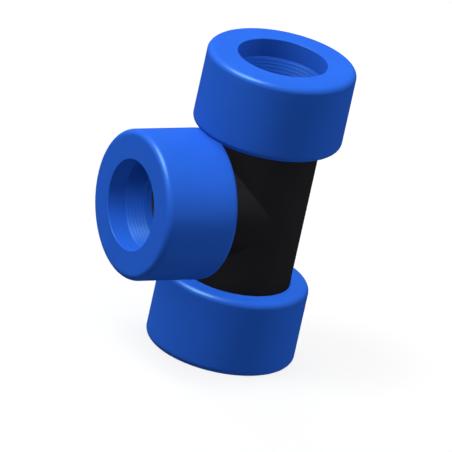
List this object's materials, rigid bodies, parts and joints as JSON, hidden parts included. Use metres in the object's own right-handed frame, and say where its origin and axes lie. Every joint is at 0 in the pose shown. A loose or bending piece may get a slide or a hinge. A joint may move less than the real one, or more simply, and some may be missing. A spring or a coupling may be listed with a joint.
{
  "type": "compression tee",
  "caption": "Equal compression tee for plastic pipe: black tee body with large smooth blue screw nuts, split gripping rings, thrust bushes and sealing rings.",
  "frame": {"origin": "centre of the bottom nut's flat outer face, on which the fitting stands", "axes": "+Z along the run, from the bottom port to the top port; the branch port points along -X"},
  "size_m": [0.15, 0.106, 0.222],
  "materials": {
    "black_body": "satin moulded",
    "blue_nut": "smooth satin",
    "blue_ring": "satin moulded",
    "seal_rubber": "matt"
  },
  "bodies": {
    "tee": {"tee_body": "black_body", "top_thrust_bush": "blue_ring", "bottom_thrust_bush": "blue_ring", "branch_thrust_bush": "blue_ring", "top_seal": "seal_rubber", "bottom_seal": "seal_rubber", "branch_seal": "seal_rubber"},
    "top_ring": {"top_grip_ring": "blue_ring"},
    "bottom_ring": {"bottom_grip_ring": "blue_ring"},
    "branch_ring": {"branch_grip_ring": "blue_ring"},
    "top_screw": {"top_nut": "blue_nut"},
    "bottom_screw": {"bottom_nut": "blue_nut"},
    "branch_screw": {"branch_nut": "blue_nut"}
  },
  "joints": [
    {"name": "top_travel", "type": "slide", "parent": "tee", "child": "top_ring", "axis": [0, 0, 1], "range_m": [0, 0.015]},
    {"name": "top_turn", "type": "hinge", "parent": "top_ring", "child": "top_screw", "pos_m": [0, 0, 0.165], "axis": [0, 0, 1], "range_deg": [0, 1080]},
    {"name": "bottom_travel", "type": "slide", "parent": "tee", "child": "bottom_ring", "axis": [0, 0, -1], "range_m": [0, 0.015]},
    {"name": "bottom_turn", "type": "hinge", "parent": "bottom_ring", "child": "bottom_screw", "pos_m": [0, 0, 0.057], "axis": [0, 0, -1], "range_deg": [0, 1080]},
    {"name": "branch_travel", "type": "slide", "parent": "tee", "child": "branch_ring", "axis": [-1, 0, 0], "range_m": [0, 0.015]},
    {"name": "branch_turn", "type": "hinge", "parent": "branch_ring", "child": "branch_screw", "pos_m": [-0.04, 0, 0.111], "axis": [-1, 0, 0], "range_deg": [0, 1080]}
  ],
  "couplings": [
    {"joint": "top_travel", "follows": "top_turn", "m_per_rad": 0.00079577},
    {"joint": "bottom_travel", "follows": "bottom_turn", "m_per_rad": 0.00079577},
    {"joint": "branch_travel", "follows": "branch_turn", "m_per_rad": 0.00079577}
  ]
}
